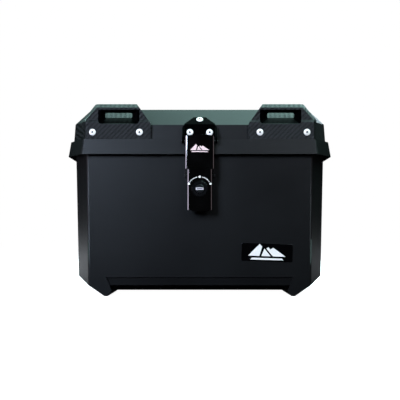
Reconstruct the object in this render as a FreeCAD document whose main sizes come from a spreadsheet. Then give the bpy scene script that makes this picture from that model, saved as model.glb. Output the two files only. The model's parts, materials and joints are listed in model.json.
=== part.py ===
"""Motorcycle top case: drafted tub, skirted lid with four armoured corners, rear hinges and front latch.

Frame: X to the right seen from the front, the front faces -Y, Z up, z = 0 under the two runners.
Every outline of the shells is the same octagon, moved inwards or outwards: see octagon().
"""
import FreeCAD, Part
import math
import os

import Sketcher
from FreeCAD import Placement, Rotation, Vector

os.makedirs("parts", exist_ok=True)
doc = FreeCAD.newDocument("top_case")

# ---------------------------------------------------------------- driving dimensions, in mm and degrees
DIMENSIONS = {
    # plan of the rim
    "rim_half_width": 210.5, "rim_half_depth": 172, "front_half": 186.5, "side_half": 132, "rim_top": 250,
    # tub
    "wall": 3.5, "foot_inset": 7, "belly_height": 9, "floor_top": 13, "belly_half": 145, "band_half": 154,
    "chamfer_top": 32.5, "chamfer_foot_half": 156.5, "foot_inner_half": 151.5,
    "flange_out": 3, "flange_height": 6, "corner_round": 5,
    "pad_face": 174, "rear_pad_bottom": 190, "rear_pad_half": 34,
    # lid
    "skirt_bottom": 233, "skirt_top": 258, "skirt_out_low": 12, "skirt_out_high": 8,
    "fold_height": 283, "lid_top": 313, "wall_in_low": 1, "wall_in_high": 3, "top_in": 33, "lid_wall": 3,
    # seal, mat and floor plate
    "seal_top": 254.7, "seal_in": 3.8, "seal_out": 2, "plate_half_x": 135, "plate_half_y": 105,
    "plate_thick": 2, "mat_thick": 3,
    # rack bolts
    "bolt_x": 110, "bolt_y": 80, "bolt_hole": 4.25, "mat_hole": 11,
    # corner caps
    "cap_low": 258.4, "cap_out": 4, "cap_fold": 288.5, "cap_crest": 316, "cap_top": 318,
    "cap_inner_low": 80.2, "cap_inner_bend": 86, "cap_inner_top": 104.5, "cap_bend_height": 291.5,
    "cap_side_end": 104, "cap_lid_edge": 37, "cap_bar_depth": 8,
    "window_in": 99.3, "window_out": 168.2, "window_low": 283, "window_high": 307.9,
    "slot_in": 113, "slot_out": 156, "slot_low": 295, "slot_high": 303,
    "cap_rivet_in": 99.4, "cap_rivet_out": 177, "cap_rivet_height": 270, "cap_grip": 8.45,
    # rivets
    "bracket_rivet_x": 16.4, "bracket_rivet_z": 270, "slope_rivet_z": 291.5,
    "leaf_rivet_gap": 20, "upper_rivet_z": 248, "skirt_hole_drop": 0.5, "lower_rivet_z": 204,
    "rivet_head": 5.5, "rivet_shank": 2.4, "rivet_dome": 1.7, "rivet_bore": 1.3, "rivet_play": 0.2,
    "rivet_flare": 3.1, "rivet_flare_thick": 0.9, "keeper_rivet_in": 4.5,
    "bracket_grip": 5.35, "upper_leaf_grip": 5.25, "lower_leaf_grip": 9.1, "keeper_grip": 10.4,
    # latch
    "hasp_axis_y": 188, "hasp_axis_z": 253, "lever_axis_y": 188.5, "lever_axis_z": 197, "pivot_pin": 2,
    "sheet_metal": 2, "bracket_low": 262, "bracket_top": 296, "ear_in": 25.2, "ear_out": 28.6,
    "ear_root": 171.8, "ear_top": 278.5, "ear_shoulder": 175, "ear_nose": 190.8, "ear_heel": 184.6,
    "hasp_half": 24, "hasp_top": 264, "hasp_low": 208.2, "hasp_front": 194, "lever_half": 20.5,
    "lever_top": 207.2, "lever_low": 139, "lever_front": 193.8, "flange_back": 184.5, "plate_roll": 4,
    "lock_height": 175.3, "lock_front": 197, "lock_rim": 13, "lock_barrel": 9, "plug_face": 7, "plug_body": 5,
    "lock_flange": 1.8, "lock_socket": 2.4, "groove": 1.3, "groove_out": 0.5,
    "key_slot_half": 4.5, "key_slot_tall": 1.1, "key_slot_deep": 8, "nut_reach": 12.7, "nut_thick": 3,
    "turn_gap": 0.05, "cam_front": 181, "cam_thick": 2, "cam_reach": 17, "cam_half": 4.5, "cam_tail": 3,
    "keeper_half": 15.5, "keeper_low": 152, "keeper_high": 188, "keeper_front": 187,
    # badge
    "badge_x": 110.7, "badge_z": 72, "badge_width": 84, "badge_height": 29, "badge_thick": 1.5,
    "badge_tilt": 1.9, "badge_round": 2,
    # rear hinges
    "hinge_y": 192, "hinge_z": 229, "hinge_x": 110, "barrel": 5, "hinge_pin": 2.5, "leaf_half": 30,
    "knuckle_half": 12, "knuckle_gap": 0.3,
}


class Size:
    """A length that knows its value and the sheet expression behind it."""

    def __init__(self, text, value):
        self.text = text
        self.value = float(value)

    def join(self, sign, other, value):
        return Size(f"({self.text} {sign} {wrap(other).text})", value)

    def __add__(self, other):
        return self.join("+", other, self.value + wrap(other).value)

    def __sub__(self, other):
        return self.join("-", other, self.value - wrap(other).value)

    def __mul__(self, factor):
        return self.join("*", factor, self.value * wrap(factor).value)

    def __truediv__(self, other):
        return self.join("/", other, self.value / wrap(other).value)

    def __rsub__(self, other):
        return wrap(other) - self

    def __neg__(self):
        return Size(f"(0 - {self.text})", -self.value)

    __radd__ = __add__
    __rmul__ = __mul__


def wrap(number):
    return number if isinstance(number, Size) else Size(repr(float(number)), number)


class Sheet:
    """The spreadsheet of driving dimensions; each is an attribute, as in d.rim_top."""

    def __init__(self, values):
        self.cells = doc.addObject("Spreadsheet::Sheet", "Sizes")
        for row, (alias, value) in enumerate(values.items(), start=1):
            self.cells.set(f"A{row}", alias)
            self.cells.set(f"B{row}", str(value))
            self.cells.setAlias(f"B{row}", alias)
        doc.recompute()

    def __getattr__(self, alias):
        return Size(f"Sizes.{alias}", getattr(self.cells, alias))


d = Sheet(DIMENSIONS)


# ---------------------------------------------------------------- sketches and features
def bind(thing, prop, length):
    """Set a property from the sheet, and keep it bound there."""
    thing.setExpression(prop, wrap(length).text)


def new_body(name):
    body = doc.addObject("PartDesign::Body", name)
    body.Label = name
    return body


def new_sketch(body, plane, offset=0):
    """An empty sketch on one of the body's own planes, moved along the plane's normal by offset."""
    sketch = body.newObject("Sketcher::SketchObject", f"{body.Name}_sketch")
    sketch.AttachmentSupport = (next(o for o in body.Origin.OriginFeatures if o.Role == plane), "")
    sketch.MapMode = "FlatFace"
    bind(sketch, "AttachmentOffset.Base.z", offset)
    return sketch


def draw_polygon(sketch, points):
    """A closed outline whose corners are all dimensioned from the sketch's origin."""
    start = sketch.GeometryCount
    count = len(points)
    corners = [Vector(wrap(x).value, wrap(y).value, 0) for x, y in points]
    for i in range(count):
        sketch.addGeometry(Part.LineSegment(corners[i], corners[(i + 1) % count]))
    for i in range(count):
        sketch.addConstraint(Sketcher.Constraint("Coincident", start + i, 2, start + (i + 1) % count, 1))
    for i, (x, y) in enumerate(points):
        for kind, length in (("DistanceX", wrap(x)), ("DistanceY", wrap(y))):
            index = sketch.addConstraint(Sketcher.Constraint(kind, -1, 1, start + i, 1, length.value))
            sketch.setExpression(f"Constraints[{index}]", length.text)


def draw_circle(sketch, x, y, radius):
    circle = Part.Circle(Vector(wrap(x).value, wrap(y).value, 0), Vector(0, 0, 1), wrap(radius).value)
    index = sketch.addGeometry(circle)
    for kind, length in (("DistanceX", wrap(x)), ("DistanceY", wrap(y))):
        place = sketch.addConstraint(Sketcher.Constraint(kind, -1, 1, index, 3, length.value))
        sketch.setExpression(f"Constraints[{place}]", length.text)
    span = sketch.addConstraint(Sketcher.Constraint("Radius", index, wrap(radius).value))
    sketch.setExpression(f"Constraints[{span}]", wrap(radius).text)


def box_points(low_x, low_y, high_x, high_y):
    return [(low_x, low_y), (high_x, low_y), (high_x, high_y), (low_x, high_y)]


def blunt_box(low_x, low_y, high_x, high_y, cut):
    """A rectangle with its four corners cut off."""
    return [(low_x + cut, low_y), (high_x - cut, low_y), (high_x, low_y + cut), (high_x, high_y - cut),
            (high_x - cut, high_y), (low_x + cut, high_y), (low_x, high_y - cut), (low_x, low_y + cut)]


def extrude(body, kind, sketch, length, both_ways=False, reverse=False):
    """A Pad or Pocket of the sketch; both_ways puts half of the length on each side."""
    feature = body.newObject(f"PartDesign::{kind}", f"{body.Name}_{kind.lower()}")
    feature.Profile = sketch
    bind(feature, "Length", length)
    if both_ways:
        feature.SideType = "Symmetric"
    feature.Reversed = reverse
    doc.recompute()
    return feature


def loft(body, kind, sections):
    """An AdditiveLoft or SubtractiveLoft straight from section to section."""
    feature = body.newObject(f"PartDesign::{kind}", f"{body.Name}_{kind.lower()}")
    feature.Profile = sections[0]
    feature.Sections = sections[1:]
    feature.Ruled = True
    doc.recompute()
    return feature


def round_edges(body, radius, wanted):
    """Fillet the edges of the body's tip that wanted(edge) picks."""
    tip = body.Tip
    names = [f"Edge{i}" for i, edge in enumerate(tip.Shape.Edges, start=1) if wanted(edge)]
    feature = body.newObject("PartDesign::Fillet", f"{body.Name}_fillet")
    feature.Base = (tip, names)
    bind(feature, "Radius", radius)
    doc.recompute()
    return feature


# ---------------------------------------------------------------- the octagon behind every outline
FACET_TURN = math.atan2(DIMENSIONS["rim_half_depth"] - DIMENSIONS["side_half"],
                        DIMENSIONS["rim_half_width"] - DIMENSIONS["front_half"])
FRONT_SHIFT = math.tan(FACET_TURN / 2)
SIDE_SHIFT = math.tan((math.pi / 2 - FACET_TURN) / 2)


def octagon(inset):
    """The rim's octagon moved inwards by inset, with its corner facets kept parallel."""
    half_x = d.rim_half_width - inset
    half_y = d.rim_half_depth - inset
    front = d.front_half - FRONT_SHIFT * wrap(inset)
    side = d.side_half - SIDE_SHIFT * wrap(inset)
    return [(-front, -half_y), (front, -half_y), (half_x, -side), (half_x, side),
            (front, half_y), (-front, half_y), (-half_x, side), (-half_x, -side)]


def octagon_sections(body, heights_and_insets):
    sections = []
    for height, inset in heights_and_insets:
        sketch = new_sketch(body, "XY_Plane", height)
        draw_polygon(sketch, octagon(inset))
        sections.append(sketch)
    return sections


LID_UPPER = [(d.skirt_top - 0.01, d.wall_in_low), (d.fold_height, d.wall_in_high), (d.lid_top, d.top_in)]


def is_upright(edge):
    """Straight and nearly vertical."""
    box = edge.BoundBox
    return box.ZLength > 4 and box.ZLength > 2.5 * math.hypot(box.XLength, box.YLength)


def hinge_rivets(spacing, height):
    """Three rivet places on each hinge leaf, as (x, z)."""
    return [(d.hinge_x * side + spacing * step, height) for side in (-1, 1) for step in (-1, 0, 1)]


BRACKET_RIVETS = [(-d.bracket_rivet_x, d.bracket_rivet_z), (d.bracket_rivet_x, d.bracket_rivet_z),
                  (wrap(0), d.slope_rivet_z)]
UPPER_LEAF_RIVETS = hinge_rivets(d.leaf_rivet_gap, d.upper_rivet_z)
# The rivets of the upper leaves stand square to the sloping skirt, so they pass through it a little lower.
SKIRT_HOLES = hinge_rivets(d.leaf_rivet_gap, d.upper_rivet_z - d.skirt_hole_drop)
LOWER_LEAF_RIVETS = hinge_rivets(d.leaf_rivet_gap, d.lower_rivet_z)
KEEPER_RIVETS = [(wrap(0), d.keeper_low + d.keeper_rivet_in), (wrap(0), d.keeper_high - d.keeper_rivet_in)]


def drill(body, places, radius, reverse=False):
    """Holes along Y through the rear of the body, or through its front when reversed."""
    holes = new_sketch(body, "XZ_Plane")
    for x, z in places:
        draw_circle(holes, x, z, radius)
    extrude(body, "Pocket", holes, 250, reverse=reverse)
    return body


def drill_bracket_holes(body):
    """Two holes along Y in the lid's wall, and one square to its 45 degree slope."""
    drill(body, BRACKET_RIVETS[:2], d.rivet_shank + 2 * d.rivet_play, reverse=True)
    slope = new_sketch(body, "XZ_Plane")
    slope.AttachmentOffset = Placement(Vector(0, 0, 0), Rotation(Vector(1, 0, 0), -45))
    height = d.slope_rivet_z * 2 - d.fold_height - d.rim_half_depth + d.wall_in_high
    draw_circle(slope, 0, height / math.sqrt(2), d.rivet_shank + d.rivet_play)
    extrude(body, "Pocket", slope, 400, reverse=True)


# ---------------------------------------------------------------- case
# The band below the front and rear walls, as (height above the belly, how far in from the wall's foot).
BELLY_BAND = [(-0.1, 24), (1.2, 12), (4, 6.2), (9, 3), (21.3, 2), (22.3, -1.5)]


def cut_belly(body):
    """Clear the belly between the two runners, and the rounded band that joins it to each wall."""
    arch = new_sketch(body, "XZ_Plane")
    draw_polygon(arch, [(-d.foot_inner_half - 4, -5), (d.foot_inner_half + 4, -5), (d.foot_inner_half, 0),
                        (d.belly_half, d.belly_height), (-d.belly_half, d.belly_height),
                        (-d.foot_inner_half, 0)])
    extrude(body, "Pocket", arch, 400, both_ways=True)
    foot = d.rim_half_depth - d.foot_inset
    for end in (-1, 1):
        sections = []
        for rise, inset in BELLY_BAND:
            sketch = new_sketch(body, "XY_Plane", d.belly_height + rise)
            half = d.belly_half + (d.band_half - d.belly_half) * (rise / BELLY_BAND[-1][0])
            draw_polygon(sketch, box_points(-half, (foot - inset) * end, half, (foot + 20) * end))
            sections.append(sketch)
        loft(body, "SubtractiveLoft", sections)


def make_base_shell():
    """The tub: drafted, with chamfered flanks, a belly between two runners and a rim flange."""
    body = new_body("base_shell")
    loft(body, "AdditiveLoft", octagon_sections(body, [(0, d.foot_inset), (d.rim_top, 0)]))

    flank = new_sketch(body, "XZ_Plane")
    outside = d.rim_half_width + 20
    foot_half_at_top = d.rim_half_width - d.foot_inset + 1
    for side in (-1, 1):
        draw_polygon(flank, [(d.chamfer_foot_half * side, 0), (foot_half_at_top * side, d.chamfer_top),
                             (outside * side, d.chamfer_top), (outside * side, -5),
                             (d.chamfer_foot_half * side, -5)])
    extrude(body, "Pocket", flank, 400, both_ways=True)
    round_edges(body, d.corner_round, is_upright)

    cut_belly(body)

    ring = new_sketch(body, "XY_Plane", d.rim_top)
    draw_polygon(ring, octagon(-d.flange_out))
    draw_polygon(ring, octagon(d.wall + 0.5))
    extrude(body, "Pad", ring, d.flange_height, reverse=True)

    pads = new_sketch(body, "YZ_Plane")
    draw_polygon(pads, box_points(-d.pad_face, d.keeper_low - 5, -d.rim_half_depth + 6, d.keeper_high + 5))
    extrude(body, "Pad", pads, d.keeper_half * 2 + 8, both_ways=True)
    for side in (-1, 1):
        pad = new_sketch(body, "YZ_Plane", d.hinge_x * side)
        draw_polygon(pad, box_points(d.rim_half_depth - 6, d.rear_pad_bottom, d.pad_face, d.skirt_bottom - 8))
        extrude(body, "Pad", pad, d.rear_pad_half * 2, both_ways=True)

    hollow = [(d.floor_top, d.foot_inset + 51), (d.chamfer_top + 4, d.foot_inset + d.wall - 1),
              (d.rim_top + 1, d.wall)]
    loft(body, "SubtractiveLoft", octagon_sections(body, hollow))
    bolts = new_sketch(body, "XY_Plane")
    for side_x in (-1, 1):
        for side_y in (-1, 1):
            draw_circle(bolts, d.bolt_x * side_x, d.bolt_y * side_y, d.bolt_hole)
    extrude(body, "Pocket", bolts, d.floor_top * 2 + 4, both_ways=True)

    drill(body, KEEPER_RIVETS, d.rivet_shank + d.rivet_play, reverse=True)
    return drill(body, LOWER_LEAF_RIVETS, d.rivet_shank + d.rivet_play)


def make_lid_shell():
    """Skirt, step, upright wall, 45 degree slope and flat top, open below."""
    body = new_body("lid_shell")
    outer = [(d.skirt_bottom, -d.skirt_out_low), (d.skirt_top, -d.skirt_out_high)]
    loft(body, "AdditiveLoft", octagon_sections(body, outer))
    loft(body, "AdditiveLoft", octagon_sections(body, LID_UPPER))
    round_edges(body, d.corner_round, is_upright)
    low = [(d.skirt_bottom - 0.01, d.lid_wall - d.skirt_out_low),
           (d.skirt_top - d.lid_wall, d.lid_wall - d.skirt_out_high - 0.4)]
    high = [(d.skirt_top - d.lid_wall - 0.01, d.wall_in_low + d.lid_wall),
            (d.fold_height - 1.2, d.wall_in_high + d.lid_wall), (d.lid_top - d.lid_wall, d.top_in + 1.3)]
    loft(body, "SubtractiveLoft", octagon_sections(body, low))
    loft(body, "SubtractiveLoft", octagon_sections(body, high))

    holes = new_sketch(body, "XZ_Plane")
    for side in (-1, 1):
        for x in (d.cap_rivet_in, d.cap_rivet_out):
            draw_circle(holes, x * side, d.cap_rivet_height, d.rivet_shank + d.rivet_play)
    extrude(body, "Pocket", holes, 500, both_ways=True)
    drill_bracket_holes(body)
    return drill(body, SKIRT_HOLES, d.rivet_shank + 3 * d.rivet_play)


def make_floor_piece(name, low, thick, hole):
    """A flat rectangle on the floor, with a hole over each rack bolt."""
    body = new_body(name)
    plan = new_sketch(body, "XY_Plane", low)
    draw_polygon(plan, box_points(-d.plate_half_x, -d.plate_half_y, d.plate_half_x, d.plate_half_y))
    for side_x in (-1, 1):
        for side_y in (-1, 1):
            draw_circle(plan, d.bolt_x * side_x, d.bolt_y * side_y, hole)
    extrude(body, "Pad", plan, thick)
    return body


def make_rim_seal():
    body = new_body("rim_seal")
    ring = new_sketch(body, "XY_Plane", d.rim_top)
    draw_polygon(ring, octagon(-d.seal_out))
    draw_polygon(ring, octagon(d.seal_in))
    extrude(body, "Pad", ring, d.seal_top - d.rim_top)
    return body


# Sections of a corner cap's frame: a plain plate below, a ledge, the arch over the strap window with a bevel
# down its outer edge, and a bevel along the top. Each is (height, how far in the face stands, how far in
# its outer corner stands, run of the bevel outwards, depth of the bevel's far edge, depth of the back).
CAP_FRAME = [(d.cap_low, 0, 0, 2.6, 4.3, d.cap_bar_depth),
             (d.window_low + 3.7, 0, 0, 2.6, 4.3, d.cap_bar_depth),
             (d.window_low + 8, 2.2, 0.5, 5.5, 6, d.cap_bar_depth),
             (d.slot_high + 1, 2.5, 11.7, 6, 6.6, d.cap_bar_depth),
             (d.cap_top - 6.5, 2.6, 18.5, 6, 6.8, d.cap_bar_depth + 3),
             (d.cap_top, 8.8, 20.5, 4, 11, d.cap_bar_depth + 7)]


def make_corner_cap(name, side, end):
    """Armour over one lid corner: a skin on wall and slope, and an upright frame with a strap window.

    side is -1 on the left and 1 on the right; end is -1 at the front and 1 at the rear.
    """
    body = new_body(name)
    crest_in = d.wall_in_high - d.cap_out + d.cap_crest - d.cap_fold
    loft(body, "AdditiveLoft", octagon_sections(body, [
        (d.cap_low, d.wall_in_low - d.cap_out), (d.cap_fold, d.wall_in_high - d.cap_out),
        (d.cap_crest, crest_in)]))

    face = d.rim_half_depth - d.wall_in_low + d.cap_out
    corner = d.front_half - FRONT_SHIFT * (d.wall_in_low - d.cap_out)
    frame_sections = []
    for height, face_in, corner_in, bevel_run, bevel_in, back_in in CAP_FRAME:
        sketch = new_sketch(body, "XY_Plane", height)
        bevel_x = corner - corner_in + bevel_run
        facet_run = (back_in - bevel_in) * (1 / math.tan(FACET_TURN))
        draw_polygon(sketch, [(x * side, y * end) for x, y in (
            (d.cap_inner_low, face - face_in), (corner - corner_in, face - face_in),
            (bevel_x, face - bevel_in), (bevel_x + facet_run, face - back_in),
            (d.cap_inner_low, face - back_in))])
        frame_sections.append(sketch)
    loft(body, "AdditiveLoft", frame_sections)

    outline = new_sketch(body, "XZ_Plane")
    draw_polygon(outline, box_points(-260, d.cap_low - 20, 260, d.cap_top + 20))
    wing = d.rim_half_width + 20
    draw_polygon(outline, [(x * side, z) for x, z in (
        (d.cap_inner_low, d.cap_low), (d.cap_inner_low, d.cap_bend_height - 10.5),
        (d.cap_inner_low + 2, d.cap_bend_height - 4.5), (d.cap_inner_bend, d.cap_bend_height),
        (d.cap_inner_top, d.cap_top), (wing, d.cap_top), (wing, d.cap_low))])
    extrude(body, "Pocket", outline, 500, both_ways=True)

    flank = new_sketch(body, "YZ_Plane")
    draw_polygon(flank, [(y * end, z) for y, z in (
        (-220, d.cap_low - 10), (d.cap_side_end, d.cap_low - 10), (d.cap_side_end, d.fold_height),
        (d.cap_side_end + 26, d.cap_top + 5), (-220, d.cap_top + 5))])
    extrude(body, "Pocket", flank, 500, both_ways=True)

    top = new_sketch(body, "XY_Plane", d.lid_top - 5)
    draw_polygon(top, octagon(d.cap_lid_edge))
    extrude(body, "Pocket", top, 40, reverse=True)
    loft(body, "SubtractiveLoft", octagon_sections(body, LID_UPPER))

    mouth = new_sketch(body, "XZ_Plane", (face + 0.5) * -end)
    draw_polygon(mouth, [(x * side, z) for x, z in blunt_box(
        d.window_in, d.window_low, d.window_out, d.window_high, 2)])
    slot = new_sketch(body, "XZ_Plane", (face - d.cap_bar_depth - 0.5) * -end)
    draw_polygon(slot, [(x * side, z) for x, z in blunt_box(
        d.slot_in, d.slot_low, d.slot_out, d.slot_high, 1.5)])
    loft(body, "SubtractiveLoft", [mouth, slot])
    holes = new_sketch(body, "XZ_Plane")
    for x in (d.cap_rivet_in, d.cap_rivet_out):
        draw_circle(holes, x * side, d.cap_rivet_height, d.rivet_shank + d.rivet_play)
    extrude(body, "Pocket", holes, 500, both_ways=True)
    return body


# ---------------------------------------------------------------- latch
def make_latch_bracket():
    """A strip bent over the lid's fold, with two ears that reach past the skirt to the hasp's pin."""
    body = new_body("latch_bracket")
    wall_low = d.rim_half_depth - d.wall_in_low - 0.3
    wall_high = d.rim_half_depth - d.wall_in_high
    climb = d.bracket_top - d.fold_height
    strip = new_sketch(body, "YZ_Plane")
    draw_polygon(strip, [(-wall_low, d.bracket_low), (-wall_high, d.fold_height),
                         (climb - wall_high, d.bracket_top), (climb - wall_high - 1.4, d.bracket_top + 1.4),
                         (-wall_high - d.sheet_metal, d.fold_height + 0.8),
                         (-wall_low - d.sheet_metal, d.bracket_low)])
    extrude(body, "Pad", strip, d.ear_out * 2, both_ways=True)
    trim = new_sketch(body, "XZ_Plane")
    for side in (-1, 1):
        draw_polygon(trim, [(40 * side, d.bracket_low + 17), (d.ear_out * side, d.bracket_low + 17),
                            (26 * side, d.fold_height - 1), (25 * side, d.fold_height + 2),
                            (11 * side, d.bracket_top + 0.5), (11 * side, d.bracket_top + 4),
                            (40 * side, d.bracket_top + 4)])
    extrude(body, "Pocket", trim, 250, reverse=True)
    for side in (-1, 1):
        ear = new_sketch(body, "YZ_Plane", (d.ear_in + d.ear_out) / 2 * side)
        draw_polygon(ear, [(-d.ear_root, d.skirt_top + 0.4), (0.6 - d.ear_root, d.ear_top),
                           (-d.ear_shoulder, d.ear_top), (-d.ear_nose, d.skirt_top + 1.5),
                           (-d.hasp_axis_y - 4.3, d.hasp_axis_z), (-d.hasp_axis_y - 2.5, d.hasp_axis_z - 3.7),
                           (-d.hasp_axis_y + 2, d.hasp_axis_z - 3.7), (-d.ear_heel, d.skirt_top - 6),
                           (-d.ear_heel, d.skirt_top + 0.4)])
        extrude(body, "Pad", ear, d.ear_out - d.ear_in, both_ways=True)
    bore = new_sketch(body, "YZ_Plane")
    draw_circle(bore, -d.hasp_axis_y, d.hasp_axis_z, d.pivot_pin)
    extrude(body, "Pocket", bore, 80, both_ways=True)
    drill_bracket_holes(body)
    return body


def make_pin(name, axis_y, axis_z, radius, half, centre=0):
    """A plain pin along X."""
    body = new_body(name)
    circle = new_sketch(body, "YZ_Plane", centre)
    draw_circle(circle, axis_y, axis_z, radius)
    extrude(body, "Pad", circle, half * 2, both_ways=True)
    return body


def is_rolled(half, front):
    """Picks the two upright edges between a plate's front and its flanges."""
    def wanted(edge):
        box = edge.BoundBox
        return (is_upright(edge) and min(abs(box.XMin), abs(box.XMax)) > half.value - 0.1
                and box.YMax < 0.1 - front.value)
    return wanted


def make_hasp_plate():
    """The upper plate of the latch: rolled into two flanges that carry both of its pins."""
    body = new_body("hasp_plate")
    front = new_sketch(body, "XZ_Plane", d.hasp_front - d.sheet_metal)
    arch = d.hasp_top - 2.5
    draw_polygon(front, [(-d.hasp_half, d.hasp_low), (d.hasp_half, d.hasp_low), (d.hasp_half, arch),
                         (d.hasp_half / 2, d.hasp_top - 0.6), (0, d.hasp_top),
                         (-d.hasp_half / 2, d.hasp_top - 0.6), (-d.hasp_half, arch)])
    extrude(body, "Pad", front, d.sheet_metal)
    inner_face = d.hasp_front - d.sheet_metal
    for side in (-1, 1):
        flange = new_sketch(body, "YZ_Plane", (d.hasp_half - d.sheet_metal / 2) * side)
        draw_polygon(flange, [(-inner_face - 0.5, d.hasp_axis_z + 5), (-d.hasp_axis_y, d.hasp_axis_z + 5),
                              (3.5 - d.hasp_axis_y, d.hasp_axis_z + 2.5), (-d.flange_back, d.hasp_axis_z),
                              (-d.flange_back, d.lever_axis_z - 3),
                              (-d.lever_axis_y + 1.5, d.lever_axis_z - 5),
                              (-inner_face - 0.5, d.lever_axis_z - 5)])
        extrude(body, "Pad", flange, d.sheet_metal, both_ways=True)
    round_edges(body, d.plate_roll, is_rolled(d.hasp_half, d.hasp_front))
    bores = new_sketch(body, "YZ_Plane")
    draw_circle(bores, -d.hasp_axis_y, d.hasp_axis_z, d.pivot_pin + d.turn_gap)
    draw_circle(bores, -d.lever_axis_y, d.lever_axis_z, d.pivot_pin)
    extrude(body, "Pocket", bores, 80, both_ways=True)
    return body


def make_lever_plate():
    """The lower plate of the latch, with the hole for the lock."""
    body = new_body("lever_plate")
    front = new_sketch(body, "XZ_Plane", d.lever_front - d.sheet_metal)
    draw_polygon(front, [(-d.lever_half, d.lever_low + 2.5), (-d.lever_half * 0.6, d.lever_low + 0.6),
                         (0, d.lever_low), (d.lever_half * 0.6, d.lever_low + 0.6),
                         (d.lever_half, d.lever_low + 2.5), (d.lever_half, d.lever_top),
                         (-d.lever_half, d.lever_top)])
    draw_circle(front, 0, d.lock_height, d.lock_barrel)
    extrude(body, "Pad", front, d.sheet_metal)
    inner_face = d.lever_front - d.sheet_metal
    for side in (-1, 1):
        flange = new_sketch(body, "YZ_Plane", (d.lever_half - d.sheet_metal / 2) * side)
        draw_polygon(flange, [(-inner_face - 0.5, d.lever_top - 2), (-d.lever_axis_y, d.lever_top - 3),
                              (-d.flange_back, d.lever_axis_z + 3), (-d.flange_back, d.lever_low + 7),
                              (-inner_face - 0.5, d.lever_low + 3.5)])
        extrude(body, "Pad", flange, d.sheet_metal, both_ways=True)
    round_edges(body, d.plate_roll, is_rolled(d.lever_half, d.lever_front))
    bore = new_sketch(body, "YZ_Plane")
    draw_circle(bore, -d.lever_axis_y, d.lever_axis_z, d.pivot_pin + d.turn_gap)
    extrude(body, "Pocket", bore, 80, both_ways=True)
    return body


GROOVE_COUNT = 18


def turn_on_y(name, profile):
    """A turned piece about the lock's axis; profile holds (radius, distance in front of the case)."""
    body = new_body(name)
    section = new_sketch(body, "XY_Plane")
    draw_polygon(section, [(radius, -front) for radius, front in profile])
    feature = body.newObject("PartDesign::Revolution", f"{name}_revolution")
    feature.Profile = section
    feature.ReferenceAxis = (section, ["V_Axis"])
    doc.recompute()
    bind(body, "Placement.Base.z", d.lock_height)
    return body


def make_lock_housing():
    """A flanged barrel through the lever; the flange's rim has finger grooves all round."""
    face = d.lever_front + d.lock_flange
    back = d.cam_front + 1.5
    socket_floor = face - d.lock_socket
    hollow = d.plug_body + d.turn_gap
    socket = d.plug_face + d.turn_gap
    body = turn_on_y("lock_housing", [
        (hollow, back), (d.lock_barrel, back), (d.lock_barrel, d.lever_front), (d.lock_rim, d.lever_front),
        (d.lock_rim, face - 0.5), (d.lock_rim - 0.6, face), (socket, face),
        (socket, socket_floor), (hollow, socket_floor)])
    grooves = new_sketch(body, "XZ_Plane", d.lever_front)
    reach = d.lock_rim + d.groove_out
    for turn in (2 * math.pi * step / GROOVE_COUNT for step in range(GROOVE_COUNT)):
        draw_circle(grooves, reach * math.cos(turn), reach * math.sin(turn), d.groove)
    extrude(body, "Pocket", grooves, d.lock_flange * 2, reverse=True)
    return body


def make_lock_plug():
    """The plug with its key slot; its square-shouldered tail carries the cam."""
    face = d.lock_front
    shoulder = d.lever_front + d.lock_flange - d.lock_socket + d.turn_gap
    body = turn_on_y("lock_plug", [
        (0, d.cam_front - d.cam_thick), (d.cam_tail, d.cam_front - d.cam_thick), (d.cam_tail, d.cam_front),
        (d.plug_body, d.cam_front), (d.plug_body, shoulder), (d.plug_face, shoulder),
        (d.plug_face, face - 0.6), (d.plug_face - 0.6, face), (0, face)])
    slot = new_sketch(body, "XZ_Plane", face)
    draw_polygon(slot, box_points(-d.key_slot_half, -d.key_slot_tall, d.key_slot_half, d.key_slot_tall))
    extrude(body, "Pocket", slot, d.key_slot_deep)
    return body


def make_lock_nut():
    body = new_body("lock_nut")
    face = new_sketch(body, "XZ_Plane", d.lever_front - d.sheet_metal - d.nut_thick)
    turns = [math.radians(60 * step) for step in range(6)]
    draw_polygon(face, [(d.nut_reach * math.cos(turn), d.lock_height + d.nut_reach * math.sin(turn))
                        for turn in turns])
    draw_circle(face, 0, d.lock_height, d.lock_barrel)
    extrude(body, "Pad", face, d.nut_thick)
    return body


def make_lock_cam():
    """At rest the cam hangs straight down; a quarter turn puts it through a window of the keeper."""
    body = new_body("lock_cam")
    face = new_sketch(body, "XZ_Plane", d.cam_front - d.cam_thick)
    draw_polygon(face, [(-d.cam_half - 1.5, d.lock_height), (-d.cam_half, d.lock_height - 6),
                        (-d.cam_half, d.lock_height - d.cam_reach + 2),
                        (-d.cam_half + 2, d.lock_height - d.cam_reach),
                        (d.cam_half - 2, d.lock_height - d.cam_reach),
                        (d.cam_half, d.lock_height - d.cam_reach + 2), (d.cam_half, d.lock_height - 6),
                        (d.cam_half + 1.5, d.lock_height), (4, d.lock_height + 5), (-4, d.lock_height + 5)])
    draw_circle(face, 0, d.lock_height, d.cam_tail)
    extrude(body, "Pad", face, d.cam_thick)
    return body


def make_cam_screw():
    back = d.cam_front - d.cam_thick
    return turn_on_y("cam_screw", [(0, back - 1.6), (3.6, back - 1.6), (4, back - 1), (4, back), (0, back)])


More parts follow.
